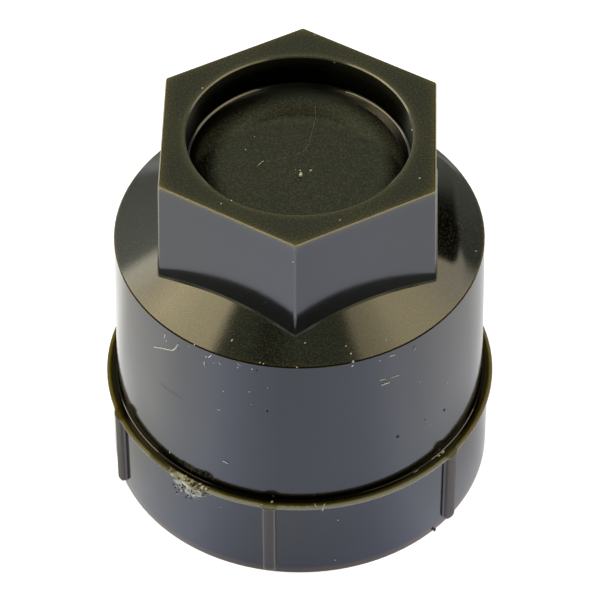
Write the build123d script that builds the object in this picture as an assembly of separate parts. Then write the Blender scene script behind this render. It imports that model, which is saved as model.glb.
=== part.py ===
from build123d import *
import os
from math import cos, hypot, radians, tan

# Wheel nut cover cap, moulded in one piece. It stands on its open mouth: the origin is the centre of
# the mouth's rim and +Z runs up the axis to the hexagonal head.

# Driving dimensions, millimetres and degrees

# Levels, from the mouth up
collar_height = 8.68
body_height = 15.65
head_height = 11.17

# Threaded mouth, for a nut with an M27 x 2 outside thread
nut_thread_diameter = 27.0
thread_clearance = 0.1
thread_depth = 13.5
mouth_chamfer = 0.7

# Round body and coned shoulder
body_wall = 1.93
body_draft = 1.1
shoulder_slope = 29.5
shoulder_edge_run = 0.087
shoulder_edge_drop = 0.058
ledge_root_width = 0.06
ledge_root_height = 0.034

# Collar, lip and ribs
ledge_width = 0.49
foot_edge_chamfer = 0.06
lip_overhang = 0.37
lip_thickness = 0.25
lip_draft = 6.0
lip_bevel_width = 0.45
lip_bevel_drop = 0.09
lip_over_rib = 0.05
lip_spread = 0.6
lip_blend_radius = 0.8
rib_count = 6
rib_width = 1.07
rib_rise = 0.54
rib_nose_radius = 1.03
rib_edge_radius = 0.15
rib_foot_height = 0.73
rib_angle = 22.5

# Hexagonal head, a corner towards -Y, with a round recess in its top
head_sides = 6
head_turn = 30.0
head_across_flats = 22.0
head_draft = 1.3
head_corner_radius = 0.25
head_edge_radius = 0.18
head_root_chamfer = 0.1
recess_rim_width = 1.88
recess_depth = 2.8
recess_draft = 1.5
recess_root_width = 0.18
recess_root_height = 0.11
recess_edge_width = 0.13
recess_edge_drop = 0.075
dish_width = 1.65
dish_slope = 18.0
dish_blend_radius = 7.0

# Hollow above the thread
thread_stop = 0.7
roof_wall = 1.9
head_wall = 2.0
floor_wall = 1.9

# Land left by the mould's side gate: a low half-ellipse on the collar, hanging from the lip
gate_angle = -127.5
gate_width = 6.0
gate_drop = 2.2
gate_rise = 0.25

# How near an edge lies to the place it is picked by
match = 0.001

# Derived sizes
ledge_z = collar_height
shoulder_z = ledge_z + body_height
top_z = shoulder_z + head_height
lip_side_z = ledge_z - (lip_thickness + lip_bevel_drop) / 2

bore_radius = nut_thread_diameter / 2 + thread_clearance
body_radius = bore_radius + body_wall
shoulder_radius = body_radius - body_height * tan(radians(body_draft))
collar_radius = body_radius + ledge_width
lip_radius = collar_radius + lip_overhang
chamber_radius = bore_radius - thread_stop
pocket_radius = head_across_flats / 2 - head_wall
recess_radius = head_across_flats / 2 - recess_rim_width
recess_foot_radius = recess_radius - recess_depth * tan(radians(recess_draft))
recess_foot_z = top_z - recess_depth
dish_rim_radius = recess_foot_radius - recess_root_width
dish_rim_z = recess_foot_z - recess_root_height
dish_radius = dish_rim_radius - dish_width
recess_floor_z = dish_rim_z - dish_width * tan(radians(dish_slope))
pocket_top_z = recess_floor_z - floor_wall


def shoulder_height(radius):
    """Height of the shoulder's cone at a radius."""
    return shoulder_z + (shoulder_radius - radius) * tan(radians(shoulder_slope))


def roof_height(radius):
    """Height of the hollow's roof, a wall's thickness under the shoulder's cone."""
    return shoulder_height(radius) - roof_wall / cos(radians(shoulder_slope))


def turned(corners):
    """Solid of revolution from (radius, height) corners."""
    return revolve(Plane.XZ * make_face(Polyline(*corners, close=True)), Axis.Z)


def wall_radius(height):
    """Radius of the body's drafted wall at a height."""
    return body_radius - (height - ledge_z) * tan(radians(body_draft))


def body():
    """Collar wall, round body and coned shoulder, still solid, with the wall's root and edges broken."""
    root_radius = body_radius + ledge_root_width
    root_top_z = ledge_z + ledge_root_height
    edge_foot_z = shoulder_z - shoulder_edge_drop
    edge_radius = shoulder_radius - shoulder_edge_run
    cone_top_z = shoulder_height(pocket_radius)
    return turned(
        [
            (0, 0),
            (collar_radius - foot_edge_chamfer, 0),
            (collar_radius, foot_edge_chamfer),
            (collar_radius, lip_side_z),
            (root_radius, lip_side_z),
            (root_radius, ledge_z),
            (wall_radius(root_top_z), root_top_z),
            (wall_radius(edge_foot_z), edge_foot_z),
            (edge_radius, shoulder_height(edge_radius)),
            (pocket_radius, cone_top_z),
            (0, cone_top_z),
        ]
    )


def swell_section():
    """Plan of the lip's swell over the rib on the +X side, a slot with a round nose."""
    width = rib_width + 2 * lip_spread
    reach = collar_radius + rib_rise + lip_over_rib
    return Pos(reach - width, 0) * SlotOverall(2 * width, width)


def rib_section():
    """Plan of the rib on the +X side: straight flanks and a slightly domed nose."""
    dome = Circle(rib_nose_radius) & Rectangle(2 * rib_nose_radius, rib_width)
    return Pos(collar_radius + rib_rise - rib_nose_radius, 0) * dome


def rib_places():
    """The ribs' even spacing round the axis."""
    return PolarLocations(0, rib_count, rib_angle)


def lip():
    """Thin lip round the ledge that swells over each rib, its top bevelled down to the outer edge."""
    plan = Circle(lip_radius) + [place * swell_section() for place in rib_places()]
    plan = fillet(plan.vertices(), lip_blend_radius)
    plate = extrude(Pos(0, 0, ledge_z - lip_thickness) * plan, lip_thickness, taper=lip_draft)
    top = plate.faces().sort_by(Axis.Z)[-1]
    return chamfer(top.edges(), lip_bevel_width, lip_bevel_drop, reference=top)


def ribs():
    """Grip ribs down the collar's wall, rounded at roots and nose, which stop short of its foot."""
    plan = Circle(collar_radius) + [place * rib_section() for place in rib_places()]
    plan = fillet(plan.vertices(), rib_edge_radius)
    return extrude(Pos(0, 0, rib_foot_height) * plan, lip_side_z - rib_foot_height)


def gate_land():
    """Low land of the mould's gate, its upper half buried in the lip."""
    wall = collar_radius - body_radius + body_wall
    facing = Plane(origin=(0, 0, lip_side_z), x_dir=(0, 1, 0), z_dir=(1, 0, 0))
    plug = extrude(facing.offset(collar_radius - wall / 2) * Ellipse(gate_width / 2, gate_drop), wall)
    band = Pos(0, 0, lip_side_z / 2) * Cylinder(collar_radius + gate_rise, lip_side_z)
    return Rot(0, 0, gate_angle) * (plug & band)


def head():
    """Drafted hexagon, from inside the shoulder to the top."""
    half_flats = head_across_flats / 2 + head_height * tan(radians(head_draft))
    plan = RegularPolygon(half_flats, head_sides, major_radius=False, rotation=head_turn)
    block = extrude(Pos(0, 0, shoulder_z) * plan, head_height, taper=head_draft)
    corner_edges = block.edges().group_by(Axis.Z)[1]
    block = fillet(corner_edges, head_corner_radius)
    return fillet(block.edges().group_by(Axis.Z)[-1], head_edge_radius)


def hollow():
    """Space inside the cap: mouth chamfer, thread bore, nut chamber and stud pocket."""
    return turned(
        [
            (0, -mouth_chamfer),
            (bore_radius + 2 * mouth_chamfer, -mouth_chamfer),
            (bore_radius, mouth_chamfer),
            (bore_radius, thread_depth),
            (chamber_radius, thread_depth + thread_stop),
            (chamber_radius, roof_height(chamber_radius)),
            (pocket_radius, roof_height(pocket_radius)),
            (pocket_radius, pocket_top_z),
            (0, pocket_top_z),
        ]
    )


def recess():
    """Round recess in the head's top: broken rim, drafted wall and a floor that dishes up to the wall."""
    dish_corner = (dish_radius, recess_floor_z)
    edge_foot_radius = recess_radius - recess_edge_drop * tan(radians(recess_draft))
    edge_radius = recess_radius + recess_edge_width
    profile = make_face(
        Polyline(
            (0, recess_floor_z),
            dish_corner,
            (dish_rim_radius, dish_rim_z),
            (recess_foot_radius, recess_foot_z),
            (edge_foot_radius, top_z - recess_edge_drop),
            (edge_radius, top_z),
            (edge_radius, top_z + recess_depth),
            (0, top_z + recess_depth),
            close=True,
        )
    )
    blended = profile.vertices().sort_by_distance(Vector(*dish_corner))[0]
    return revolve(Plane.XZ * fillet(blended, dish_blend_radius), Axis.Z)


def head_root_edges(shape):
    """The curved edges where the hexagon's flats and corners run into the shoulder's cone."""
    curved = shape.edges().filter_by(
        lambda edge: edge.geom_type not in (GeomType.LINE, GeomType.CIRCLE)
    )

    def on_cone(edge):
        middle = edge.position_at(0.5)
        return abs(middle.Z - shoulder_height(hypot(middle.X, middle.Y))) < match

    return curved.filter_by(on_cone)


def cap():
    """The whole cap, with the hexagon's root broken last."""
    shell = body() + lip() + ribs() + gate_land() + head()
    shell = shell - hollow() - recess()
    return chamfer(head_root_edges(shell), head_root_chamfer)


os.makedirs("parts", exist_ok=True)
export_step(cap(), "parts/cap.step")
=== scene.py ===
from math import atan2, cos, degrees, hypot, pi, radians, sin, tan

import bmesh
import bpy
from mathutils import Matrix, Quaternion, Vector, noise
from mathutils.bvhtree import BVHTree


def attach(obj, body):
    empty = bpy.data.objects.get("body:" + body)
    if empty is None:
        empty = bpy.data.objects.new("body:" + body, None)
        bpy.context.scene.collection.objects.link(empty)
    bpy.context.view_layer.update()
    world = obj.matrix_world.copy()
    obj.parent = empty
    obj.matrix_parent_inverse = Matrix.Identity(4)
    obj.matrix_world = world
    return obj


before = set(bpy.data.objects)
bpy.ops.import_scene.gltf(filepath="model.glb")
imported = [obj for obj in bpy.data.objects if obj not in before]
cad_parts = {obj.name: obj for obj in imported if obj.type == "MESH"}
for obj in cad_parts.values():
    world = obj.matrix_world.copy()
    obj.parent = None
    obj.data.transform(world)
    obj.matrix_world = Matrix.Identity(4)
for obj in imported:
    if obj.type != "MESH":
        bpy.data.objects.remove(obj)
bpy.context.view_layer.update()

# Sizes are in millimetres, which MM turns into metres, and azimuths in degrees from -Y towards +X.
# A fade is two places of a value, (none, full), and a band is four, (starts, full, still full, ends).
MM = 0.001
PHOTO_SIZE = 600

# Camera, at the photograph's view
VIEW_AZIMUTH = 1.586
VIEW_ELEVATION = 46.05
VIEW_DISTANCE = 323.15 * MM
VIEW_TARGET = Vector((0, 0, 16.33 * MM))
VIEW_ROLL = -0.157
VIEW_LENS = 231.89
VIEW_SENSOR = 36
VIEW_SHIFT = 0.00078
VIEW_CLIP = (10, 10000)

# Soft boxes, placed by the shoulder azimuths that they show at from front to rear. Levels run along
# the box, and the sides are how far it reaches across, as tangents.
SHOULDER_SLOPE = 29.5
BOX_SPAN = 0.7
BOX_EDGE = 0.03
BOX_FACING = (0.1, 0.3)
BOX_LEAST_DEPTH = 0.05
LEFT_BOX = {
    "front": -24.5,
    "rear": -73,
    "peak": 6.1,
    "levels": [
        (-0.42, 0.0), (-0.372, 0.67), (-0.23, 0.72), (-0.15, 0.79), (-0.065, 0.9), (0.02, 1.0),
        (0.105, 0.85), (0.19, 0.69), (0.27, 0.64), (0.4, 0.63), (0.46, 0.0),
    ],
    "sides": (-0.13, 0.3),
}
RIGHT_BOX = {
    "front": 20,
    "rear": 74,
    "peak": 3.4,
    "levels": [
        (-0.5, 0.0), (-0.45, 0.53), (-0.38, 0.54), (-0.29, 0.7), (-0.2, 0.94), (-0.11, 1.0),
        (0.07, 0.97), (0.16, 0.89), (0.25, 0.77), (0.36, 0.7), (0.45, 0.5), (0.56, 0.0),
    ],
    "sides": (-0.13, 0.3),
}
BOX_TINT = Vector((1.0, 0.84, 0.5))
BOX_REAR_TINT = Vector((1.0, 0.91, 0.7))
BOX_TINT_RUN = (0.05, 0.4)

# Sky by the direction of a ray: an overhead glow with a dip, a rear glow, a low glow behind the cap,
# and white below the horizon
SKY_TINT = (0.92, 1.0, 0.62)
SKY_DARK = 0.003
OVERHEAD_LEVEL = 0.31
OVERHEAD_Y = (-0.75, -0.45, -0.15, 0.4)
OVERHEAD_Z = (0.3, 0.7)
DIP_X = -0.17
DIP_REACH = (0.14, 0.02)
DIP_SHARE = 0.5
REAR_LEVEL = 0.49
REAR_X = -0.06
REAR_REACH = (0.28, 0.04)
REAR_Y = (0.14, 0.42)
REAR_LOW_Z = (0.84, 0.7)
REAR_HIGH_SHARE = 0.9
LOW_TINT = (0.95, 1.0, 0.84)
LOW_LEVEL = 0.3
LOW_BY_HEIGHT = 0.72
LOW_BY_SIDE = -1.1
LOW_SLOPE = -0.9
LOW_Z = (0.1, -0.05)
LOW_Y = (0.2, 0.45)
BELOW_HORIZON = (0.06, 0.02)

# White floor and its glow by azimuth, close to the cap and further out, bluer in front than at the sides
FLOOR_REACH = 1500
FLOOR_DROP = -0.01
FLOOR_COLOUR = (0.45, 0.48, 0.55, 1)
FLOOR_ROUGHNESS = 0.9
WHITE_TO_CAMERA = (0.94, 0.94, 0.94)
NEAR_GLOW = [
    (-180, 0.8), (-95, 1.05), (-88, 0.95), (-78, 0.67), (-71, 0.75), (-60, 0.96), (-45, 1.05),
    (-36, 1.04), (-24, 0.78), (-12, 0.65), (0, 0.62), (15, 0.67), (28, 0.75), (38, 0.92),
    (47, 1.05), (54, 0.95), (70, 0.73), (80, 0.55), (90, 0.55), (100, 0.7), (180, 0.8),
]
FAR_GLOW = [
    (-180, 0.8), (-118, 1.1), (-105, 0.79), (-90, 1.0), (-75, 1.26), (-60, 1.22), (-42, 1.25),
    (-33, 1.08), (-20, 0.85), (-8, 0.74), (4, 0.75), (18, 0.8), (32, 0.86), (50, 1.1),
    (64, 1.05), (77, 1.0), (90, 0.84), (103, 0.64), (120, 0.58), (180, 0.65),
]
GLOW_RADII = (19.0, 27.0)
GLOW_FADES = (60.0, 110.0)
GLOW_FADED = 0.22
GLOW_TOP = 1.5
FRONT_TINT = Vector((0.89, 1.0, 1.37))
LEFT_TINT = Vector((1.0, 1.0, 1.03))
RIGHT_TINT = Vector((0.99, 1.0, 1.12))
TINT_TURN = (28, 70)

# Faces of the cap that are duller than the rest: the lip, the ledge's root and the recess's wall and foot,
# with the azimuths at which root and foot still shine
PLASTIC_IOR = 1.62
PLASTIC_GLOSS = 0.5
DULL_GLOSS = 0.12
LIP_LOW = 8.41
LIP_HIGH = 8.69
LIP_ROOT = 15.58
ROOT_HIGH = 8.72
ROOT_RADIUS = 15.51
ROOT_SHINES = (47, 71)
RECESS_ROOT = 8.8
RECESS_RIM = 9.14
RECESS_LOW = 32.57
RECESS_FOOT = 32.75
RECESS_HIGH = 35.45
WALL_DULL = 2.0
FOOT_SHINES = (82, 157)

# Radius within which the material's recess zones lie
RECESS_REACH = 9.2

# Patterns of the plastic, with bump depths
GRAIN = {"Scale": 5.0, "Detail": 2.0}
GRAIN_STRENGTH = 0.35
GRAIN_DEPTH = 0.004
WAVES = {"Scale": 0.22, "Detail": 1.0}
WAVES_STRENGTH = 0.5
WAVES_DEPTH = 0.02
STAINS = {"Scale": 0.7, "Detail": 4.0}
HAZE = {"Scale": 6.0, "Detail": 2.0, "Roughness": 0.7}
SPECK_CELLS = 1.15

# Painted glow for light let through thin plastic: at thin edges by how thin the wall is, and on the lip's
# top by the distance from its root
THIN_REACH = 0.6
THIN_SAMPLES = 12
THIN_GLOW_TONES = [
    (0.0, (0.0004, 0.0004, 0.0003)),
    (0.15, (0.0022, 0.0018, 0.0004)),
    (0.25, (0.014, 0.0115, 0.0018)),
    (0.35, (0.038, 0.031, 0.006)),
    (0.45, (0.08, 0.068, 0.018)),
    (0.58, (0.15, 0.135, 0.055)),
    (0.68, (0.27, 0.26, 0.18)),
    (0.78, (0.44, 0.435, 0.39)),
]
LIP_GLOW_WIDTH = 0.8
LIP_GLOW_TONES = [
    (0.06, (0.0012, 0.001, 0.0003)),
    (0.19, (0.004, 0.0034, 0.0008)),
    (0.31, (0.01, 0.0085, 0.0018)),
    (0.44, (0.022, 0.019, 0.004)),
    (0.56, (0.055, 0.047, 0.012)),
    (0.69, (0.1, 0.088, 0.032)),
    (0.81, (0.19, 0.178, 0.1)),
    (0.97, (0.3, 0.295, 0.24)),
]
LIP_TOP = (8.4, 8.42, 8.7, 8.72)
LIP_FACING = (0.4, 0.6)
# Painted glow tinted olive at the left and right of the head and shoulder, deeper on the left, and turned
# down on the collar's face
OLIVE_ASIDE = (11.5, 15.0)
OLIVE_HEIGHT = (9.0, 8.8)
OLIVE_TURN = (-1.0, 1.0)
OLIVE_LEFT_GLOW = (0.52, 0.45, 0.17)
OLIVE_RIGHT_GLOW = (0.78, 0.69, 0.46)
COLLAR_HEIGHT = (0.9, 1.1, 8.28, 8.38)
COLLAR_FACE = (16.34, 16.3)
COLLAR_DARKENED = -0.8

# Ribs: brown, with painted highlights on the front one's edges and on the other ones' flanks
RIB_AZIMUTH = -7.5
RIB_SPACING = 60
RIB_HEIGHT = (0.6, 0.8, 8.3, 8.4)
RIB_SIDE = (0.72, 0.64)
RIB_ROOT = (15.9, 16.0)
RIB_TONE = (0.075, 0.058, 0.046)
RIB_ROUGHER = 0.55
FRONT_RIB_Y = (-14.0, -15.0)
SIDE_RIBS_Y = (-15.0, -14.0)
RIB_EDGE = (0.36, 0.44, 0.5, 0.57)
RIB_EDGE_RADIUS = (16.2, 16.4)
RIB_EDGE_HIGHLIGHT = (0.1, 0.092, 0.088)
RIB_FLANK = (0.48, 0.56, 0.68, 0.74)
RIB_FLANK_RADIUS = (16.5, 16.4)
RIB_FLANK_HIGHLIGHT = (0.06, 0.06, 0.064)

# Painted glow and painted highlights: lines along the shoulder's edge, the head's edges, corners and root,
# and the foot
# Shoulder: a brown line of painted glow, stronger at the sides than in front
SHOULDER_HEIGHT = (24.2, 24.3, 24.4, 24.55)
SHOULDER_RADIUS = (14.9, 15.2)
SHOULDER_ASIDE = (10.0, 14.5)
SHOULDER_FRONT_SHARE = 0.2
SHOULDER_SIDE_SHARE = 0.9
SHOULDER_GLOW_TONE = (0.06, 0.038, 0.002)
# Head: amber painted glow where its wall is thin, with a flat tone instead inside the recess's rim
AMBER_REACH = 1.6
AMBER_SAMPLES = 8
AMBER_GLOW_TONES = [
    (0.0, (0.0, 0.0, 0.0)),
    (0.18, (0.0, 0.0, 0.0)),
    (0.4, (0.022, 0.017, 0.007)),
    (0.55, (0.05, 0.04, 0.018)),
]
HEAD_HEIGHT = (34.0, 35.0)
RIM_RADIUS = (9.7, 9.3)
RIM_TONE = (0.024, 0.0258, 0.0246)
# Head's top edges: a pale line, partly wear and partly painted highlight
WORN_FACING = (0.12, 0.3, 0.82, 0.93)
WORN_RADIUS = (9.8, 10.0)
WORN_HIGHLIGHT_TONE = (0.36, 0.345, 0.27)
# Head's upright corners: a pale line of painted highlight
HEAD_DRAFT = 1.3
CAP_HEIGHT = 35.5
CORNER_AT_TOP = 12.66
CORNER_LEAN = tan(radians(HEAD_DRAFT)) / cos(radians(30))
CORNER_AT_FLOOR = CORNER_AT_TOP + CAP_HEIGHT * CORNER_LEAN
CORNER_REACH = (-0.035, -0.005)
CORNER_HEIGHT = (27.0, 28.0)
CORNER_HIGHLIGHT_TONE = (0.13, 0.13, 0.127)
# Root of the head on the shoulder: a pale line of painted highlight
CREASE_FACING = (0.25, 0.35, 0.72, 0.82)
CREASE_HEIGHT = (24.5, 24.7, 28.5, 29.0)
CREASE_HIGHLIGHT_TONE = (0.11, 0.108, 0.1)
# Foot: a brown band of painted glow
FOOT_HEIGHT = (0.85, 0.45)
FOOT_RADIUS = (15.7, 15.9)
FOOT_GLOW_TONE = (0.08, 0.036, 0.006)

# Dust on the faces that look up, with a clean dish in the recess, and a paler band on the recess's floor by
# its rear wall
DUST_FACING = (0.6, 0.85)
DUST_HEIGHT = (20.0, 22.0)
DUST_TONE = (1.0, 1.0, 0.86)
CLEAN_DISH = (32.1, 32.55, 34.0, 34.5)
HAZE_GRAINS = (0.42, 0.68)
HAZE_LEVEL = 0.034
SPECK_LEVEL = 0.16
SPECK_SIZE = 0.035
SPECK_SIZE_SPREAD = 0.06
SPECK_CORE = 0.6
SPECK_CHANCE = (0.72, 0.95)
REAR_BAND_RADIUS = 9.0
REAR_BAND_TO_WALL = (0.9, 2.4, 3.4, 4.5)
REAR_BAND_HEIGHT = (31.9, 32.0, 32.3, 32.5)
REAR_BAND_EVEN = 0.85
REAR_BAND_GRAINS = 0.25
REAR_BAND_TONE = (0.024, 0.026, 0.02)

# Shading normals that lean: the recess's rounded root and the soft shoulder beside the right flat
ROUND_HEIGHT = (32.57, 32.6, 32.69, 32.72)
ROUND_RADIUS = 8.87
ROUND_TURN = -2.2
ROUND_LEAN = 0.13
SOFT_X = (11.1, 11.2, 12.4, 13.9)
SOFT_Y = (-6.6, -3.4)
SOFT_HEIGHT = (24.6, 24.9)
SOFT_FACING = (0.7, 0.8)
SOFT_LEAN = (-0.2, 0.0, 0.0)

# Roughness: the stained plastic, and what the recess's floor and wall and a smear on the body add
ROUGH_LEAST = 0.09
ROUGH_STAINS = 0.05
RECESS_FLOOR_HEIGHT = (31.5, 31.9, 32.2, 32.4)
RECESS_FLOOR_ROUGHER = 0.05
RECESS_WALL_HEIGHT = (32.7, 32.9, 35.2, 35.35)
RECESS_WALL_RADIUS = (9.4, 9.3)
RECESS_WALL_ROUGHER = 0.2
SMEAR_TURN = tuple(radians(azimuth) for azimuth in (-48.0, -45.0, -38.0, -35.5))
SMEAR_HEIGHT = 17.3
SMEAR_REACH = (0.32, 0.08)
SMEAR_ROUGHER = 0.27

# Dull materials: dark and pale colour, scale of the pattern, the ends of its range, and roughness
FINISHES = {
    "lint": ((0.5, 0.49, 0.47), (0.95, 0.94, 0.92), 6.0, 0.35, 0.65, 0.6),
    "dark_lint": ((0.12, 0.12, 0.1), (0.28, 0.28, 0.24), 3.0, 0.35, 0.65, 0.6),
    # Dark grime for specks, and painted shade in the torn gate's pits
    "grime_and_pit_shade": ((0.006, 0.005, 0.004), (0.03, 0.026, 0.02), 6.0, 0.35, 0.65, 0.7),
    "flash": ((0.05, 0.04, 0.03), (0.2, 0.16, 0.13), 5.0, 0.35, 0.65, 0.6),
    "torn_plastic": ((0.02, 0.018, 0.013), (0.66, 0.64, 0.52), 2.0, 0.33, 0.62, 0.7),
    # A pale finish for painted highlights on the torn gate
    "torn_edge_highlight": ((0.4, 0.39, 0.33), (0.88, 0.87, 0.8), 4.0, 0.35, 0.65, 0.6),
}
FLECKS = {"Detail": 4.0, "Roughness": 0.6}
FLECK_STRENGTH = 0.4
FLECK_DEPTH = 0.03

# Marks read off the photograph, in its pixels: hairs and scratches as a radius in millimetres and a path,
# crumbs and specks as a place with a size in millimetres
HAIRS = {
    "left_hair": (
        0.05,
        [(154.1, 346.7), (159.9, 347.6), (167.4, 349.0), (172.8, 350.5), (175.7, 348.2), (178.6, 343.7)],
    ),
    "left_hair_fork": (0.04, [(176.3, 346.9), (177.6, 348.4), (179.0, 349.9)]),
    "left_fleck": (0.04, [(165.9, 333.2), (165.0, 336.0), (164.2, 338.4)]),
    "left_hook": (0.05, [(204.8, 360.4), (204.2, 363.2), (204.5, 365.3), (206.6, 366.5)]),
    "left_curl": (0.04, [(208.6, 357.6), (210.3, 355.6), (212.3, 354.4)]),
    "left_dash": (0.06, [(219.4, 361.2), (219.8, 362.7), (220.4, 364.2)]),
    "left_tick": (0.04, [(237.4, 363.2), (239.2, 364.9), (241.0, 365.7)]),
    "left_low_dash": (0.05, [(217.2, 409.4), (218.8, 409.5), (220.6, 410.0)]),
    "ledge_dash": (0.06, [(222.9, 460.6), (225.6, 461.8), (228.6, 463.2)]),
    "right_fleck": (0.07, [(413.4, 350.0), (414.2, 348.2), (415.0, 346.6)]),
    "right_dash": (0.04, [(388.7, 356.7), (391.8, 355.5), (395.3, 354.4)]),
    "right_scratch": (0.035, [(379.4, 380.2), (382.5, 379.4), (386.0, 378.5)]),
    "right_scratch_end": (0.03, [(389.0, 378.0), (394.0, 376.5), (399.3, 374.8)]),
    "right_scratch_bold": (0.06, [(380.6, 384.9), (385.0, 383.4), (389.3, 382.0)]),
    "recess_hair_end": (0.017, [(263.4, 160.8), (260.6, 163.4), (257.4, 165.8)]),
    "recess_chip": (0.12, [(301.2, 172.8), (300.8, 175.0), (300.2, 177.2)]),
    "lip_burr_left": (0.05, [(314.6, 503.8), (315.4, 505.6), (316.5, 507.6)]),
    "lip_burr_right": (0.05, [(325.0, 503.6), (323.4, 506.0), (322.3, 510.8)]),
    "root_fleck": (0.025, [(413.4, 473.0), (415.5, 471.7), (418.2, 470.0)]),
}
FAINT_HAIRS = {
    "recess_hair_rear": (
        0.013,
        [(315.0, 106.0), (316.0, 118.0), (312.5, 130.0), (309.0, 143.0), (305.5, 150.0), (297.1, 155.4)],
    ),
    "recess_hair_front": (0.013, [(297.1, 155.4), (286.0, 158.0), (273.9, 160.7), (264.5, 161.8)]),
}
SPECKS = {
    "cone_front": (232.0, 340.3, 0.2),
    "cone_left": (221.0, 318.0, 0.12),
    "cone_middle": (305.0, 343.0, 0.12),
    "cone_low": (297.0, 367.0, 0.12),
    "cone_right": (386.0, 340.1, 0.14),
    "cone_right_front": (350.8, 353.6, 0.13),
    "cone_right_inner": (345.8, 346.2, 0.12),
    "cone_far_right": (476.0, 251.0, 0.13),
    "edge_left": (194.7, 344.5, 0.16),
    "edge_left_front": (188.5, 346.4, 0.12),
    "edge_front": (259.8, 362.7, 0.15),
    "edge_front_right": (263.5, 363.6, 0.12),
    "edge_right": (353.0, 361.5, 0.2),
    "edge_right_low": (352.4, 365.7, 0.14),
    "left_high": (166.4, 340.8, 0.16),
    "left_mid": (206.3, 356.5, 0.16),
    "left_faint": (213.8, 362.7, 0.12),
    "left_pair": (237.8, 367.5, 0.14),
    "left_front": (252.1, 368.9, 0.15),
    "left_low": (223.6, 391.3, 0.13),
    "middle_low": (249.3, 391.7, 0.11),
    "middle_lower": (251.5, 404.6, 0.09),
    "middle_right": (267.7, 387.6, 0.1),
    "right_high": (379.6, 360.7, 0.13),
    "right_far": (447.0, 382.7, 0.1),
    "right_low": (430.0, 425.4, 0.1),
    "right_mid": (419.6, 382.2, 0.09),
    "ledge_left": (169.8, 452.5, 0.14),
    "collar_left": (220.3, 507.0, 0.12),
    "collar_front": (338.0, 520.0, 0.14),
    "collar_foot": (335.0, 560.0, 0.12),
    "flat_front": (293.0, 262.0, 0.12),
    "recess_right": (310.7, 170.7, 0.16),
    "recess_above": (299.8, 170.5, 0.1),
    "recess_below": (298.0, 179.9, 0.1),
    "recess_beside": (295.2, 169.5, 0.08),
    "recess_rear": (347.0, 93.0, 0.1),
    "recess_left": (254.5, 136.5, 0.08),
    "recess_mid": (245.5, 149.8, 0.09),
    "recess_hair_knot": (262.8, 161.4, 0.1),
    "rim_left": (231.5, 200.4, 0.12),
    "rim_rear": (334.5, 62.5, 0.12),
    "rim_nick": (412.2, 130.5, 0.22),
    "top_left": (221.3, 203.6, 0.13),
    "top_far_left": (202.5, 88.2, 0.13),
    "top_right": (419.7, 178.3, 0.13),
    "top_rear": (314.9, 35.2, 0.1),
    "top_front": (340.0, 220.0, 0.12),
    "ledge_crumb": (442.2, 452.2, 0.36),
    "ledge_crumb_end": (438.8, 455.6, 0.22),
    # A pale speck on the lip's front that stands for a painted glint
    "lip_sparkle": (272.0, 502.0, 0.2),
}
DARK_SPECKS = {
    "left_front": (256.5, 370.4, 0.17),
    "middle": (267.3, 411.2, 0.2),
    "right_low": (397.8, 436.6, 0.24),
    "right": (444.3, 410.0, 0.2),
    "ledge": (425.0, 419.6, 0.12),
    "scar_left": (176.6, 492.4, 0.16),
    "scar_foot": (186.0, 497.4, 0.16),
}
LIP_CRUMBS = {
    "far_left": (160.6, 465.4, 0.14),
    "left": (165.0, 468.4, 0.16),
    "left_edge": (169.4, 471.2, 0.18),
    "scar_first": (173.4, 474.4, 0.2),
    "scar_second": (177.2, 477.0, 0.22),
    "scar_third": (180.6, 479.4, 0.24),
    "scar_fourth": (183.8, 481.2, 0.22),
    "scar_fifth": (186.6, 482.8, 0.24),
    "scar_end": (206.9, 489.6, 0.26),
    "scar_after": (208.6, 492.4, 0.16),
    "front_left": (262.0, 504.5, 0.16),
    "front": (284.0, 507.0, 0.14),
    "front_mid": (291.0, 507.0, 0.18),
    "front_right": (298.0, 507.0, 0.14),
    "front_last": (307.0, 507.0, 0.14),
}
# Dark bits in the torn gate's pits that stand for painted shade
SCAR_PIT_SHADE = {
    "long_pit": (193.6, 485.3, 0.34),
    "long_pit_middle": (191.2, 483.8, 0.2),
    "long_pit_end": (188.6, 481.1, 0.2),
    "small_top": (185.7, 480.7, 0.15),
    "middle": (191.5, 491.6, 0.18),
    "low": (187.8, 495.2, 0.2),
    "lowest": (190.7, 498.3, 0.16),
    "left": (179.5, 490.0, 0.18),
    "left_low": (183.6, 491.1, 0.16),
    "left_inner": (182.2, 487.3, 0.17),
    "left_high": (179.5, 484.8, 0.15),
    "right": (200.6, 490.2, 0.22),
    "right_high": (198.9, 485.7, 0.2),
    "right_low": (193.8, 493.2, 0.16),
    "streak": (173.4, 484.4, 0.18),
    "streak_low": (175.2, 487.6, 0.18),
}
# Pale bits on the torn gate that stand for painted highlights
SCAR_HIGHLIGHT_BITS = {
    "tooth_first": (172.8, 470.5, 0.2),
    "tooth_second": (180.3, 475.3, 0.2),
    "tooth_third": (183.4, 477.0, 0.2),
    "tooth_fourth": (185.7, 476.6, 0.22),
    "ridge": (192.5, 482.8, 0.24),
    "ridge_end": (195.8, 486.3, 0.2),
    "middle": (190.7, 489.6, 0.22),
    "low": (189.4, 493.8, 0.26),
    "left_low": (181.5, 490.2, 0.24),
    "left": (176.4, 485.9, 0.18),
    "foot": (177.6, 493.5, 0.18),
    "low_right": (194.4, 495.2, 0.28),
    "right_foot": (200.2, 495.4, 0.26),
    "right": (202.7, 488.0, 0.32),
    "right_high": (200.0, 484.4, 0.24),
    "after": (206.4, 489.2, 0.24),
}

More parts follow.
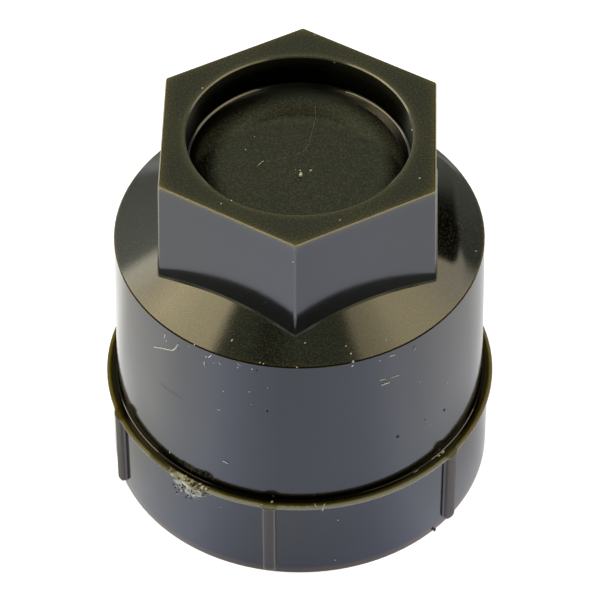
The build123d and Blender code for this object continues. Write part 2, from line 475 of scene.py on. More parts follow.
# How hairs and crumbs are made: spacing in pixels, sides, and unevenness and sinking as shares of size
HAIR_SPACING = 1.0
HAIR_SMOOTHINGS = 3
HAIR_SIDES = 8
HAIR_WAVER = 0.35
HAIR_WAVER_PACE = 3
HAIR_END = 0.4
HAIR_LIFT = 0.45
CRUMB_PACES = (7.3, 3.1, 5.7)
CRUMB_LONG = 1.15
CRUMB_LONG_SPREAD = 0.35
CRUMB_WIDE = 0.85
CRUMB_WIDE_SPREAD = 0.3
CRUMB_WIDE_PACE = 1.7
CRUMB_LUMPS = ((0.5, 1.3), (0.25, 3.1))
CRUMB_FLATTER = 0.75
CRUMB_LEVEL = 0.3
SPECK_SUNK = 0.3
PIT_SUNK = 0.42
LIP_CRUMB_SUNK = 0.4
BIT_SUNK = 0.35

# Torn gate on the collar under the lip: place and grid, then its skin, with noise as (height, pace, shift)
COLLAR_RADIUS = 16.02
LIP_EDGE = 16.39
LIP_FLAT = 15.94
SCAR_AZIMUTH = -33.4
SCAR_WIDTH = 4.2
SCAR_LOW = 6.6
SCAR_TOP = 8.6
SCAR_COLUMNS = 110
SCAR_ROWS = 64
SCAR_ROOF_ROWS = 8
SCAR_FOOT_SUNK = 0.06
SCAR_BACK_SUNK = 0.3
SCAR_RAGGED = ((0.25, 1.1, (0, 0, 0)), (0.12, 3.7, (0, 0, 0)))
SCAR_COVER = (0.08, 0.3)
SCAR_SWELL = 0.36
SCAR_RIGHT_SWELL = 0.34
SCAR_RIGHT = (-0.35, 0.4)
SCAR_UPPER = (0.9, 0.3)
SCAR_GRIT = ((0.13, 1.8, (0, 0, 4)), (0.05, 5.3, (0, 0, 0)))
SCAR_PITS_NOISE = ((1.0, 1.6, (3, 1, 7)),)
SCAR_PITTED = (0.25, 0.5)
SCAR_PIT_DEPTH = 0.3
SCAR_HUNG = (0.3, 0.05)
SCAR_LEAST = 0.12
SCAR_HUNG_LEAST = 0.4
ROOF_REACH = 0.34
ROOF_MIDDLE = (0.0, 0.5)
ROOF_RAGGED = ((0.12, 2.6, (0, 0, 0)),)
ROOF_STAND = 0.02
ROOF_SLOPE = 0.2
ROOF_SUNK = 0.015

# Nub of flash at the foot
NUB_AZIMUTH = 46.4
NUB_STAND = 0.09
NUB_HEIGHT = 0.15
NUB_SIZE = 0.27
NUB_SEED = 5
NUB_SUNK = 0.1
NUB_DETAIL = 3

# Right-handed M27 x 2 thread ridge in the mouth
THREAD_PITCH = 2.0
THREAD_BASE = 13.66
THREAD_CREST = 12.47
THREAD_START = 1.8
THREAD_END = 12.4
THREAD_HALF_FOOT = 0.95
THREAD_HALF_CREST = 0.27
THREAD_RUNOUT = 0.4
THREAD_LEAST = 0.1
THREAD_STEPS = 72


def direction(azimuth, elevation):
    """Unit vector; azimuth is measured from -Y towards +X, elevation from the floor, in degrees."""
    a, e = radians(azimuth), radians(elevation)
    return Vector((sin(a) * cos(e), -cos(a) * cos(e), sin(e)))


def clamped(value, low, high):
    """Share of the way from low to high, from 0 to 1."""
    return min(max((value - low) / (high - low), 0), 1)


def smooth(value, low, high):
    """Smooth step of a number from 0 to 1."""
    t = clamped(value, low, high)
    return t * t * (3 - 2 * t)


def make_camera():
    """The photograph's long lens, looking down on the cap."""
    data = bpy.data.cameras.new("camera")
    data.lens = VIEW_LENS
    data.sensor_width = VIEW_SENSOR
    data.shift_x = VIEW_SHIFT
    data.clip_start, data.clip_end = (reach * MM for reach in VIEW_CLIP)
    camera = bpy.data.objects.new("camera", data)
    back = direction(VIEW_AZIMUTH, VIEW_ELEVATION)
    camera.rotation_mode = "QUATERNION"
    camera.location = VIEW_TARGET + back * VIEW_DISTANCE
    roll = Quaternion((0, 0, 1), radians(VIEW_ROLL))
    camera.rotation_quaternion = (-back).to_track_quat("-Z", "Y") @ roll
    bpy.context.scene.collection.objects.link(camera)
    bpy.context.scene.camera = camera


class Graph:
    """A node tree with short calls for the nodes used here."""

    def __init__(self, tree):
        self.tree = tree

    def node(self, kind, settings=None, **inputs):
        node = self.tree.nodes.new("ShaderNode" + kind)
        for name, value in (settings or {}).items():
            setattr(node, name, value)
        for name, value in inputs.items():
            self.feed(node.inputs[name], value)
        return node

    def feed(self, socket, value):
        if isinstance(value, bpy.types.NodeSocket):
            self.tree.links.new(value, socket)
        else:
            socket.default_value = value

    def feed_all(self, sockets, values):
        for socket, value in zip(sockets, values):
            self.feed(socket, value)

    def split(self, vector):
        """The three parts of a vector."""
        outputs = self.node("SeparateXYZ", Vector=vector).outputs
        return outputs["X"], outputs["Y"], outputs["Z"]

    def math(self, operation, *values):
        node = self.node("Math", {"operation": operation})
        self.feed_all(node.inputs, values)
        return node.outputs[0]

    def product(self, first, *others):
        for value in others:
            first = self.math("MULTIPLY", first, value)
        return first

    def away(self, value, centre):
        """Distance of a number from a centre."""
        return self.math("ABSOLUTE", self.math("SUBTRACT", value, centre))

    def polar(self, x, y):
        """Azimuth in radians and radius of a place."""
        turn = self.math("ARCTAN2", x, self.math("MULTIPLY", y, -1.0))
        squares = [self.math("POWER", value, 2.0) for value in (x, y)]
        return turn, self.math("SQRT", self.math("ADD", *squares))

    def step(self, value, low, high):
        """Smooth step of a number from 0 to 1."""
        node = self.node("MapRange", {"interpolation_type": "SMOOTHSTEP"})
        self.feed_all(node.inputs, (value, low, high, 0.0, 1.0))
        return node.outputs[0]

    def band(self, value, zone):
        """Smooth step up and down again."""
        starts, full, still, ends = zone
        return self.product(self.step(value, starts, full), self.step(value, ends, still))

    def vector(self, operation, *values):
        node = self.node("VectorMath", {"operation": operation})
        self.feed_all(node.inputs, values)
        return node.outputs["Value" if operation == "DOT_PRODUCT" else "Vector"]

    def scaled(self, vector, amount):
        node = self.node("VectorMath", {"operation": "SCALE"})
        self.feed(node.inputs[0], vector)
        self.feed(node.inputs["Scale"], amount)
        return node.outputs["Vector"]

    def plus(self, base, vector, amount):
        """A vector or colour with some of another added."""
        return self.vector("ADD", base, self.scaled(vector, amount))

    def mix(self, factor, first, second):
        node = self.node("Mix", {"data_type": "VECTOR"})
        self.feed_all((node.inputs[0], node.inputs[4], node.inputs[5]), (factor, first, second))
        return node.outputs[1]

    def ramp(self, value, stops):
        node = self.node("ValToRGB", Fac=value)
        elements = node.color_ramp.elements
        while len(elements) < len(stops):
            elements.new(1.0)
        for element, (place, colour) in zip(elements, stops):
            element.position = place
            element.color = (*colour, 1)
        return node.outputs["Color"]

    def noise(self, point, pattern):
        return self.node("TexNoise", Vector=point, **pattern).outputs["Fac"]

    def bump(self, height, strength, depth, **normal):
        return self.node("Bump", Strength=strength, Distance=depth * MM, Height=height, **normal).outputs[0]


def new_material(name):
    """A material with its graph and its shader."""
    material = bpy.data.materials.new(name)
    material.use_nodes = True
    return material, Graph(material.node_tree), material.node_tree.nodes["Principled BSDF"]


def mirrored(azimuth):
    """Direction that the camera sees in the cap's coned shoulder at an azimuth."""
    normal = direction(azimuth, 90 - SHOULDER_SLOPE)
    view = direction(VIEW_AZIMUTH, VIEW_ELEVATION)
    return 2 * normal.dot(view) * normal - view


def soft_box(graph, ray, box):
    """Light of one soft box along a ray of the sky."""
    first, last = mirrored(box["front"]), mirrored(box["rear"])
    towards = (first + last).normalized()
    along = (last - first).normalized()
    across = along.cross(towards)
    facing = graph.vector("DOT_PRODUCT", ray, towards)
    depth = graph.math("MAXIMUM", facing, BOX_LEAST_DEPTH)
    u = graph.math("DIVIDE", graph.vector("DOT_PRODUCT", ray, along), depth)
    w = graph.math("DIVIDE", graph.vector("DOT_PRODUCT", ray, across), depth)
    place = graph.math("DIVIDE", graph.math("ADD", u, BOX_SPAN), 2 * BOX_SPAN)
    stops = []
    for at, level in box["levels"]:
        tint = BOX_TINT.lerp(BOX_REAR_TINT, clamped(at, *BOX_TINT_RUN))
        stops.append(((at + BOX_SPAN) / (2 * BOX_SPAN), tuple(tint * level)))
    low, high = box["sides"]
    reach = (low - BOX_EDGE, low + BOX_EDGE, high - BOX_EDGE, high + BOX_EDGE)
    level = graph.product(box["peak"], graph.band(w, reach), graph.step(facing, *BOX_FACING))
    return graph.scaled(graph.ramp(place, stops), level)


def make_world():
    """Studio round the cap: dark behind the camera, dim and olive above and at the rear, two soft boxes."""
    world = bpy.data.worlds.new("studio")
    world.use_nodes = True
    graph = Graph(world.node_tree)
    ray = graph.node("TexCoord").outputs["Generated"]
    x, y, z = graph.split(ray)

    dip = graph.step(graph.away(x, DIP_X), *DIP_REACH)
    undipped = graph.math("MULTIPLY_ADD", dip, -DIP_SHARE, 1.0)
    overhead = graph.product(graph.band(y, OVERHEAD_Y), graph.step(z, *OVERHEAD_Z), undipped)
    lower = graph.step(z, *REAR_LOW_Z)
    share = graph.math("MULTIPLY_ADD", lower, 1 - REAR_HIGH_SHARE, REAR_HIGH_SHARE)
    rear = graph.product(graph.step(y, *REAR_Y), share, graph.step(graph.away(x, REAR_X), *REAR_REACH))
    level = graph.math("MULTIPLY_ADD", rear, REAR_LEVEL, SKY_DARK)
    level = graph.math("MULTIPLY_ADD", overhead, OVERHEAD_LEVEL, level)
    sky = graph.scaled(SKY_TINT, level)

    rise = graph.math("MULTIPLY_ADD", graph.math("ABSOLUTE", x), LOW_SLOPE, z)
    leaning = graph.product(z, graph.math("MULTIPLY_ADD", x, LOW_BY_SIDE, LOW_BY_HEIGHT))
    low = graph.product(graph.step(rise, *LOW_Z), graph.step(y, *LOW_Y))
    sky = graph.plus(sky, LOW_TINT, graph.product(low, graph.math("ADD", leaning, LOW_LEVEL)))
    for box in (LEFT_BOX, RIGHT_BOX):
        sky = graph.vector("ADD", sky, soft_box(graph, ray, box))
    sky = graph.mix(graph.step(z, *BELOW_HORIZON), sky, (1.0, 1.0, 1.0))
    graph.feed(world.node_tree.nodes["Background"].inputs["Color"], sky)
    bpy.context.scene.world = world


def floor_stops(levels):
    """Colour stops of the floor's glow round the cap."""
    stops = []
    for azimuth, level in levels:
        side_tint = LEFT_TINT if azimuth < 0 else RIGHT_TINT
        tint = FRONT_TINT.lerp(side_tint, clamped(abs(azimuth), *TINT_TURN))
        stops.append((azimuth / 360 + 0.5, tuple(tint * level / GLOW_TOP)))
    return stops


def make_floor():
    """Wide white floor that glows a little more beside the cap than before and behind it."""
    mesh = bpy.data.meshes.new("floor")
    sides = ((-1, -1), (1, -1), (1, 1), (-1, 1))
    corners = [(x * FLOOR_REACH * MM, y * FLOOR_REACH * MM, FLOOR_DROP * MM) for x, y in sides]
    mesh.from_pydata(corners, [], [(0, 1, 2, 3)])
    floor = bpy.data.objects.new("floor", mesh)
    bpy.context.scene.collection.objects.link(floor)

    material, graph, shader = new_material("white_floor")
    x, y = graph.split(graph.node("NewGeometry").outputs["Position"])[:2]
    angle, radius = graph.polar(x, y)
    turn = graph.math("MULTIPLY_ADD", angle, 0.5 / pi, 0.5)
    near, far = (graph.ramp(turn, floor_stops(levels)) for levels in (NEAR_GLOW, FAR_GLOW))
    glow = graph.mix(graph.step(radius, *(reach * MM for reach in GLOW_RADII)), near, far)
    faded = graph.step(radius, *(reach * MM for reach in GLOW_FADES))
    fading = graph.math("MULTIPLY_ADD", faded, GLOW_FADED - 1, 1.0)
    glow = graph.scaled(glow, graph.product(fading, GLOW_TOP))
    to_camera = graph.node("LightPath").outputs["Is Camera Ray"]
    graph.feed(shader.inputs["Emission Color"], graph.mix(to_camera, glow, WHITE_TO_CAMERA))
    shader.inputs["Emission Strength"].default_value = 1.0
    shader.inputs["Base Color"].default_value = FLOOR_COLOUR
    shader.inputs["Roughness"].default_value = FLOOR_ROUGHNESS
    shader.inputs["Specular IOR Level"].default_value = 0.0
    mesh.materials.append(material)


class CapPlace:
    """Where a shaded point lies on the cap, in millimetres and radians, and how its normal points."""

    def __init__(self, graph):
        self.point = graph.scaled(graph.node("TexCoord").outputs["Object"], 1 / MM)
        self.x, self.y, self.height = graph.split(self.point)
        self.aside = graph.math("ABSOLUTE", self.x)
        self.turn, self.radius = graph.polar(self.x, self.y)
        self.normal = graph.node("NewGeometry").outputs["Normal"]
        self.up = graph.split(self.normal)[2]
        self.in_recess = graph.math("LESS_THAN", self.radius, RECESS_REACH)
        self.on_head = graph.step(self.height, *HEAD_HEIGHT)
        from_rib = graph.math("SUBTRACT", self.turn, radians(RIB_AZIMUTH))
        self.beside = graph.product(graph.math("PINGPONG", from_rib, radians(RIB_SPACING / 2)), self.radius)
        self.on_rib = graph.product(
            graph.band(self.height, RIB_HEIGHT),
            graph.step(self.beside, *RIB_SIDE),
            graph.step(self.radius, *RIB_ROOT),
        )


def thinness(graph, reach, samples):
    """How thin the wall is at a point, as seen from inside it within a reach."""
    settings = {"samples": samples, "inside": True, "only_local": True}
    node = graph.node("AmbientOcclusion", settings, Distance=reach * MM)
    return graph.math("SUBTRACT", 1.0, node.outputs["AO"])


def thin_edge_glow(graph, at):
    """Painted glow at thin edges, for light let through the plastic: cream at the lip, olive inwards and at
    the sides, then black.
    """
    tone = graph.ramp(thinness(graph, THIN_REACH, THIN_SAMPLES), THIN_GLOW_TONES)
    across = graph.math("DIVIDE", graph.math("SUBTRACT", at.radius, LIP_ROOT), LIP_GLOW_WIDTH)
    lip_top = graph.product(graph.band(at.height, LIP_TOP), graph.step(at.up, *LIP_FACING))
    tone = graph.vector("MAXIMUM", tone, graph.scaled(graph.ramp(across, LIP_GLOW_TONES), lip_top))
    # Painted glow tinted olive by side, then turned down on the collar's face
    olive = graph.mix(graph.step(at.x, *OLIVE_TURN), OLIVE_LEFT_GLOW, OLIVE_RIGHT_GLOW)
    sides = graph.product(graph.step(at.aside, *OLIVE_ASIDE), graph.step(at.height, *OLIVE_HEIGHT))
    tone = graph.vector("MULTIPLY", tone, graph.mix(sides, (1.0, 1.0, 1.0), olive))
    collar = graph.product(graph.band(at.height, COLLAR_HEIGHT), graph.step(at.radius, *COLLAR_FACE))
    return graph.scaled(tone, graph.math("MULTIPLY_ADD", collar, COLLAR_DARKENED, 1.0))


def rib_tone_and_highlights(graph, at, tone):
    """Brown ribs with painted highlights on the edges of the front one and on the flanks of those at the
    sides.
    """
    tone = graph.plus(tone, RIB_TONE, at.on_rib)
    # Painted highlights: edges on the front rib only, flanks on the ribs at the sides
    edge = graph.product(
        at.on_rib,
        graph.band(at.beside, RIB_EDGE),
        graph.step(at.radius, *RIB_EDGE_RADIUS),
        graph.step(at.y, *FRONT_RIB_Y),
    )
    flank = graph.product(
        at.on_rib,
        graph.band(at.beside, RIB_FLANK),
        graph.step(at.radius, *RIB_FLANK_RADIUS),
        graph.step(at.y, *SIDE_RIBS_Y),
    )
    tone = graph.plus(tone, RIB_EDGE_HIGHLIGHT, edge)
    return graph.plus(tone, RIB_FLANK_HIGHLIGHT, flank)


def edge_glow_and_highlights(graph, at, tone):
    """Painted glow: brown lines at shoulder and foot, and amber where the head's wall is thin. Painted
    highlights: pale lines on the head's top edges, partly wear, and on its corners and root.
    """
    sides = graph.step(at.aside, *SHOULDER_ASIDE)
    shoulder = graph.product(
        graph.band(at.height, SHOULDER_HEIGHT),
        graph.step(at.radius, *SHOULDER_RADIUS),
        graph.math("MULTIPLY_ADD", sides, SHOULDER_SIDE_SHARE, SHOULDER_FRONT_SHARE),
    )
    foot = graph.product(graph.step(at.height, *FOOT_HEIGHT), graph.step(at.radius, *FOOT_RADIUS))

    amber = graph.ramp(thinness(graph, AMBER_REACH, AMBER_SAMPLES), AMBER_GLOW_TONES)
    rim = graph.scaled(RIM_TONE, at.on_head)
    amber = graph.mix(graph.step(at.radius, *RIM_RADIUS), amber, rim)

    worn_highlight = graph.product(graph.band(at.up, WORN_FACING), at.on_head, graph.step(at.radius, *WORN_RADIUS))
    past_corner = graph.math("MULTIPLY_ADD", at.height, CORNER_LEAN, -CORNER_AT_FLOOR)
    past_corner = graph.math("ADD", at.radius, past_corner)
    corner = graph.product(graph.step(past_corner, *CORNER_REACH), graph.step(at.height, *CORNER_HEIGHT))
    crease = graph.product(graph.band(at.up, CREASE_FACING), graph.band(at.height, CREASE_HEIGHT))
    # Painted glow and painted highlights added to the tone
    for colour, amount in (
        (SHOULDER_GLOW_TONE, shoulder),
        (amber, at.on_head),
        (WORN_HIGHLIGHT_TONE, worn_highlight),
        (CORNER_HIGHLIGHT_TONE, corner),
        (CREASE_HIGHLIGHT_TONE, crease),
        (FOOT_GLOW_TONE, foot),
    ):
        tone = graph.plus(tone, colour, amount)
    return tone


def dust_and_band_tone(graph, at, tone):
    """Dust on the faces that look up, a fine haze and a few bright specks, and a paler band on the recess's
    floor by its rear wall.
    """
    not_dish = graph.math("SUBTRACT", 1.0, graph.band(at.height, CLEAN_DISH))
    settled = graph.product(graph.step(at.up, *DUST_FACING), graph.step(at.height, *DUST_HEIGHT), not_dish)
    haze = graph.step(graph.noise(at.point, HAZE), *HAZE_GRAINS)
    cells = graph.node("TexVoronoi", Vector=at.point, Scale=SPECK_CELLS).outputs
    chance, spread = graph.split(cells["Color"])[:2]
    size = graph.math("MULTIPLY_ADD", spread, SPECK_SIZE_SPREAD, SPECK_SIZE)
    speck = graph.step(cells["Distance"], size, graph.product(size, SPECK_CORE))
    speck = graph.product(speck, graph.step(chance, *SPECK_CHANCE))
    dust = graph.math("MULTIPLY_ADD", speck, SPECK_LEVEL, graph.product(haze, HAZE_LEVEL))
    tone = graph.plus(tone, DUST_TONE, graph.product(dust, settled))

    room = graph.math("SUBTRACT", REAR_BAND_RADIUS ** 2, graph.math("POWER", at.x, 2.0))
    chord = graph.math("SQRT", graph.math("MAXIMUM", room, 0.0))
    rear_band = graph.product(
        graph.band(graph.math("SUBTRACT", chord, at.y), REAR_BAND_TO_WALL),
        graph.band(at.height, REAR_BAND_HEIGHT),
        graph.math("MULTIPLY_ADD", haze, REAR_BAND_GRAINS, REAR_BAND_EVEN),
        at.in_recess,
    )
    return graph.plus(tone, REAR_BAND_TONE, rear_band)


def plastic_normal(graph, at):
    """Normal with fine grain and faint waves, leaning at the recess's root and beside the right flat."""
    outward = graph.node("CombineXYZ", X=at.x, Y=at.y, Z=0.0).outputs[0]
    outward = graph.vector("NORMALIZE", outward)
    from_middle = graph.math("SUBTRACT", at.radius, ROUND_RADIUS)
    lean = graph.math("MULTIPLY_ADD", from_middle, ROUND_TURN, ROUND_LEAN)
    lean = graph.product(lean, graph.band(at.height, ROUND_HEIGHT), at.in_recess)
    soft = graph.product(
        graph.band(at.x, SOFT_X),
        graph.step(at.y, *SOFT_Y),
        graph.step(at.height, *SOFT_HEIGHT),
        graph.step(at.up, *SOFT_FACING),
    )
    normal = graph.plus(at.normal, outward, lean)
    normal = graph.vector("NORMALIZE", graph.plus(normal, SOFT_LEAN, soft))
    normal = graph.bump(graph.noise(at.point, GRAIN), GRAIN_STRENGTH, GRAIN_DEPTH, Normal=normal)
    return graph.bump(graph.noise(at.point, WAVES), WAVES_STRENGTH, WAVES_DEPTH, Normal=normal)


def plastic_roughness(graph, at):
    """Stained gloss that is rougher in the recess, on the ribs and at a smear on the body."""
    recess_floor = graph.product(graph.band(at.height, RECESS_FLOOR_HEIGHT), at.in_recess)
    recess_wall = graph.product(
        graph.band(at.height, RECESS_WALL_HEIGHT), graph.step(at.radius, *RECESS_WALL_RADIUS)
    )
    smear = graph.product(
        graph.band(at.turn, SMEAR_TURN), graph.step(graph.away(at.height, SMEAR_HEIGHT), *SMEAR_REACH)
    )
    rough = graph.math("MULTIPLY_ADD", graph.noise(at.point, STAINS), ROUGH_STAINS, ROUGH_LEAST)
    for zone, rougher in (
        (recess_floor, RECESS_FLOOR_ROUGHER),
        (recess_wall, RECESS_WALL_ROUGHER),
        (at.on_rib, RIB_ROUGHER),
        (smear, SMEAR_ROUGHER),
    ):
        rough = graph.math("MULTIPLY_ADD", zone, rougher, rough)
    return rough


def black_plastic(name, gloss):
    """Satin black moulded plastic: grain, dust, faint waves, and painted glow at thin edges for the light
    they let through, with painted highlights on edges and ribs.
    """
    material, graph, shader = new_material(name)
    at = CapPlace(graph)
    tone = thin_edge_glow(graph, at)
    for layer in (rib_tone_and_highlights, edge_glow_and_highlights, dust_and_band_tone):
        tone = layer(graph, at, tone)
    shader.inputs["IOR"].default_value = PLASTIC_IOR
    shader.inputs["Specular IOR Level"].default_value = gloss
    graph.feed(shader.inputs["Base Color"], tone)
    graph.feed(shader.inputs["Roughness"], plastic_roughness(graph, at))
    graph.feed(shader.inputs["Normal"], plastic_normal(graph, at))
    return material


def flecked(name, dark, pale, scale, low, high, roughness):
    """Dull material that runs from a dark to a pale colour in an uneven pattern, with a rough skin."""
    material, graph, shader = new_material(name)
    place = graph.scaled(graph.node("TexCoord").outputs["Object"], 1 / MM)
    pattern = graph.noise(place, {"Scale": scale, **FLECKS})
    middle = tuple((a + b) / 2 for a, b in zip(dark, pale))
    stops = [(low, dark), ((low + high) / 2, middle), (high, pale)]
    graph.feed(shader.inputs["Base Color"], graph.ramp(pattern, stops))
    shader.inputs["Roughness"].default_value = roughness
    graph.feed(shader.inputs["Normal"], graph.bump(pattern, FLECK_STRENGTH, FLECK_DEPTH))
    return material


def is_dull(face, corners):
    """Whether a face of the cap is one of its duller ones, by the face's corners in millimetres."""
    azimuth = abs(degrees(atan2(face.center.x, -face.center.y)))
    radii = [hypot(corner.x, corner.y) for corner in corners]
    heights = [corner.z for corner in corners]
    inner, outer, low, high = min(radii), max(radii), min(heights), max(heights)
    on_lip = inner > LIP_ROOT and LIP_LOW < low and high < LIP_HIGH
    at_root = inner > ROOT_RADIUS and LIP_LOW < low and high < ROOT_HIGH
    in_recess = RECESS_ROOT < inner and outer < RECESS_RIM and RECESS_LOW < low and high < RECESS_HIGH
    dull_root = at_root and not ROOT_SHINES[0] < azimuth < ROOT_SHINES[1]
    if in_recess and high > RECESS_FOOT:
        dull_recess = face.center.x < WALL_DULL * MM
    else:
        dull_recess = in_recess and not FOOT_SHINES[0] < azimuth < FOOT_SHINES[1]
    return on_lip or dull_root or dull_recess


def dress_cap(cap):
    """The cap's two plastics, glossy and dull, on its own mesh."""
    cap.data.materials.clear()
    plastic = black_plastic("black_plastic", PLASTIC_GLOSS)
    cap.data.materials.append(plastic)
    cap.data.materials.append(black_plastic("lip_plastic", DULL_GLOSS))
    for face in cap.data.polygons:
        if is_dull(face, [cap.data.vertices[index].co / MM for index in face.vertices]):
            face.material_index = 1
    return plastic


class Shape:
    """Points in millimetres and faces, gathered for one piece."""

    def __init__(self):
        self.points = []
        self.faces = []

    def add(self, points, faces):
        first = len(self.points)
        self.points.extend(points)
        self.faces.extend([first + index for index in face] for face in faces)

    def add_strip(self, rings):
        """A closed strip through rings of equal count, capped at both ends."""
        count = len(rings[0])
        points = [point for ring in rings for point in ring]
        faces = [tuple(range(count)), tuple(range(len(points) - count, len(points)))]
        for first in range(0, len(points) - count, count):
            for side in range(count):
                after = (side + 1) % count
                faces.append((first + side, first + after, first + count + after, first + count + side))
        self.add(points, faces)

    def piece(self, name, material):
        mesh = bpy.data.meshes.new(name)
        mesh.from_pydata([Vector(point) * MM for point in self.points], [], self.faces)
        work = bmesh.new()
        work.from_mesh(mesh)
        bmesh.ops.recalc_face_normals(work, faces=work.faces)
        work.to_mesh(mesh)
        work.free()
        mesh.shade_smooth()
        mesh.materials.append(material)
        piece = bpy.data.objects.new(name, mesh)
        bpy.context.scene.collection.objects.link(piece)
        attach(piece, "root")
        return piece


class Surface:
    """The surface of some pieces, found behind pixels of the photograph, in millimetres."""

    def __init__(self, *pieces):
        corners, faces = [], []
        for piece in pieces:
            first = len(corners)
            corners.extend(piece.matrix_world @ vertex.co for vertex in piece.data.vertices)
            faces.extend([first + index for index in face.vertices] for face in piece.data.polygons)
        self.tree = BVHTree.FromPolygons(corners, faces)
        camera = bpy.context.scene.camera
        self.eye = camera.location.copy()
        self.turn = camera.rotation_quaternion.copy()

    def seen(self, px, py):
        """Place and normal of the surface at a pixel, or None beside the cap."""
        x = (px / PHOTO_SIZE - 0.5 + VIEW_SHIFT) * VIEW_SENSOR / VIEW_LENS
        y = (0.5 - py / PHOTO_SIZE) * VIEW_SENSOR / VIEW_LENS
        ray = self.turn @ Vector((x, y, -1)).normalized()
        place, normal = self.tree.ray_cast(self.eye, ray)[:2]
        return None if place is None else (place / MM, normal)


def along(path):
    """Pixels spaced along a path of pixels, with its corners smoothed."""
    spots = [Vector(path[0])]
    for first, last in zip(path, path[1:]):
        first, last = Vector(first), Vector(last)
        count = max(int((last - first).length / HAIR_SPACING), 1)
        spots.extend(first.lerp(last, (k + 1) / count) for k in range(count))
    for turn in range(HAIR_SMOOTHINGS):
        inner = [(a + 2 * b + c) / 4 for a, b, c in zip(spots, spots[1:], spots[2:])]
        spots = spots[:1] + inner + spots[-1:]
    return spots


def hairs(surface, paths):
    """Fibres and bright scratches that lie on the surface, thinner at their ends."""
    shape = Shape()
    angles = [2 * pi * side / HAIR_SIDES for side in range(HAIR_SIDES)]
    for radius, path in paths.values():
        found = [surface.seen(*spot) for spot in along(path)]
        found = [hit for hit in found if hit]
        last = len(found) - 1
        rings = []
        for k, (place, normal) in enumerate(found):
            ahead = found[min(k + 1, last)][0] - found[max(k - 1, 0)][0]
            beside = ahead.cross(normal).normalized()
            waver = 1 + HAIR_WAVER * noise.noise(place * HAIR_WAVER_PACE)
            size = radius * waver * (HAIR_END if k in (0, last) else 1)
            middle = place + normal * radius * HAIR_LIFT
            rings.append([middle + (beside * cos(a) + normal * sin(a)) * size for a in angles])
        shape.add_strip(rings)
    return shape


def crumb(shape, place, normal, size, seed, sunk, detail=2):
    """Uneven grain that sits on a place of the surface, a little sunk in it."""
    work = bmesh.new()
    bmesh.ops.create_icosphere(work, subdivisions=detail, radius=1.0)
    beside = normal.orthogonal().normalized()
    across = normal.cross(beside)
    shift = Vector([seed * pace for pace in CRUMB_PACES])
    long = CRUMB_LONG + CRUMB_LONG_SPREAD * noise.noise(shift)
    wide = CRUMB_WIDE + CRUMB_WIDE_SPREAD * noise.noise(shift * CRUMB_WIDE_PACE)
    lift = size * (CRUMB_LEVEL - sunk) / 2
    points = []
    for vertex in work.verts:
        lump = 1 + sum(rise * noise.noise(vertex.co * pace + shift) for rise, pace in CRUMB_LUMPS)
        x, y, z = vertex.co * lump * size / 2
        flat = beside * x * long + across * y * wide
        points.append(place + flat + normal * (z * CRUMB_FLATTER + lift))
    shape.add(points, [[vertex.index for vertex in face.verts] for face in work.faces])
    work.free()


def crumbs(surface, spots, sunk):
    """Grains at the surface behind pixels of the photograph."""
    shape = Shape()
    for seed, (px, py, size) in enumerate(spots.values(), 1):
        hit = surface.seen(px, py)
        if hit:
            crumb(shape, *hit, size, seed, sunk)
    return shape


def uneven(place, layers):
    """Sum of noise at a place, in layers of a height, a pace and a shift."""
    return sum(height * noise.noise(place * pace + Vector(shift)) for height, pace, shift in layers)


def scar_rise(u, v, here):
    """How far the torn gate stands off the collar, u across from -1 to 1 and v down from 0 to 1."""
    cover = smooth(1 - hypot(u, v) + uneven(here, SCAR_RAGGED), *SCAR_COVER)
    swell = SCAR_SWELL + SCAR_RIGHT_SWELL * smooth(u, *SCAR_RIGHT) * smooth(v, *SCAR_UPPER)
    pit = SCAR_PIT_DEPTH * smooth(uneven(here, SCAR_PITS_NOISE), *SCAR_PITTED)
    hung = smooth(v, *SCAR_HUNG)
    stand = swell + uneven(here, SCAR_GRIT) - pit * (1 - hung)
    return cover * max(stand, SCAR_LEAST + SCAR_HUNG_LEAST * hung)


def scar_roof(u, here, radius, over):
    """Radius and height of the crust over the lip's edge, from its outer end to its inner one."""
    inner = LIP_EDGE - ROOF_REACH * smooth(1 - abs(u), *ROOF_MIDDLE) - uneven(here, ROOF_RAGGED)
    radius += (min(inner, radius) - radius) * over
    slope = LIP_HIGH + ROOF_STAND - ROOF_SLOPE * max(radius - LIP_FLAT, 0)
    return radius, min(slope, LIP_HIGH - ROOF_SUNK)


def gate_scar():
    """Torn stub of the gate: a ragged, pitted patch, most at its right, that crusts over the lip's edge."""
    shape = Shape()
    rings = []
    for j in range(SCAR_ROWS + SCAR_ROOF_ROWS + 1):
        z = SCAR_LOW + (SCAR_TOP - SCAR_LOW) * min(j / SCAR_ROWS, 1)
        over = max(j - SCAR_ROWS, 0) / SCAR_ROOF_ROWS
        front, back = [], []
        for i in range(SCAR_COLUMNS + 1):
            s = SCAR_WIDTH * (i / SCAR_COLUMNS - 0.5)
            outward = direction(SCAR_AZIMUTH + degrees(s / COLLAR_RADIUS), 0)
            u, v = 2 * s / SCAR_WIDTH, (SCAR_TOP - z) / (SCAR_TOP - SCAR_LOW)
            here = Vector((s, z, 0))
            radius = COLLAR_RADIUS - SCAR_FOOT_SUNK + scar_rise(u, v, here)
            # On the roof each column starts from the height of the one before it
            if over:
                radius, z = scar_roof(u, here, radius, over)
            front.append(outward * radius + Vector((0, 0, z)))
            back.append(outward * (COLLAR_RADIUS - SCAR_BACK_SUNK) + Vector((0, 0, z)))
        rings.append(front + back[::-1])
    shape.add_strip(rings)
    return shape


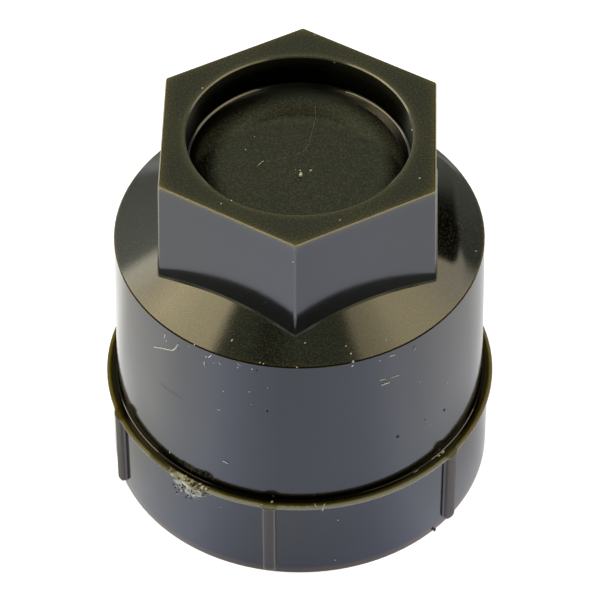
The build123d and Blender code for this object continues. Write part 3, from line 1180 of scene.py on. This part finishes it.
def thread_ridge():
    """Helical ridge with a trapezoid section, sunk in the bore and fading at both ends."""
    shape = Shape()
    count = int((THREAD_END - THREAD_START) / THREAD_PITCH * THREAD_STEPS)
    faded = THREAD_BASE - THREAD_LEAST
    rings = []
    for k in range(count + 1):
        outward = direction(360 * k / THREAD_STEPS, 0)
        z = THREAD_START + THREAD_PITCH * k / THREAD_STEPS
        stand = smooth(min(k, count - k) / THREAD_STEPS, 0.0, THREAD_RUNOUT)
        crest = faded - (faded - THREAD_CREST) * stand
        section = (
            (THREAD_BASE, -THREAD_HALF_FOOT),
            (crest, -THREAD_HALF_CREST),
            (crest, THREAD_HALF_CREST),
            (THREAD_BASE, THREAD_HALF_FOOT),
        )
        rings.append([outward * radius + Vector((0, 0, z + offset)) for radius, offset in section])
    shape.add_strip(rings)
    return shape


def foot_nub():
    """Bit of flash left on the collar's foot."""
    shape = Shape()
    outward = direction(NUB_AZIMUTH, 0)
    place = outward * (COLLAR_RADIUS + NUB_STAND) + Vector((0, 0, NUB_HEIGHT))
    crumb(shape, place, outward, NUB_SIZE, NUB_SEED, NUB_SUNK, NUB_DETAIL)
    return shape


bpy.context.scene.view_settings.view_transform = "Standard"
make_camera()
make_world()
make_floor()

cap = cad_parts["cap"]
plastic = dress_cap(cap)

finish = {name: flecked(name, *values) for name, values in FINISHES.items()}
surface = Surface(cap)
hairs(surface, HAIRS).piece("lint_hairs", finish["lint"])
hairs(surface, FAINT_HAIRS).piece("recess_hair", finish["dark_lint"])
crumbs(surface, SPECKS, SPECK_SUNK).piece("dust_specks", finish["lint"])
crumbs(surface, DARK_SPECKS, SPECK_SUNK).piece("dark_specks", finish["grime_and_pit_shade"])
scar = gate_scar().piece("gate_scar", finish["torn_plastic"])
torn_surface = Surface(cap, scar)
crumbs(torn_surface, SCAR_PIT_SHADE, PIT_SUNK).piece("scar_pit_shade", finish["grime_and_pit_shade"])
for piece in (
    scar,
    crumbs(surface, LIP_CRUMBS, LIP_CRUMB_SUNK).piece("lip_crumbs", finish["torn_plastic"]),
    crumbs(torn_surface, SCAR_HIGHLIGHT_BITS, BIT_SUNK).piece("scar_highlight_bits", finish["torn_edge_highlight"]),
    thread_ridge().piece("thread_ridge", plastic),
    foot_nub().piece("foot_nub", finish["flash"]),
):
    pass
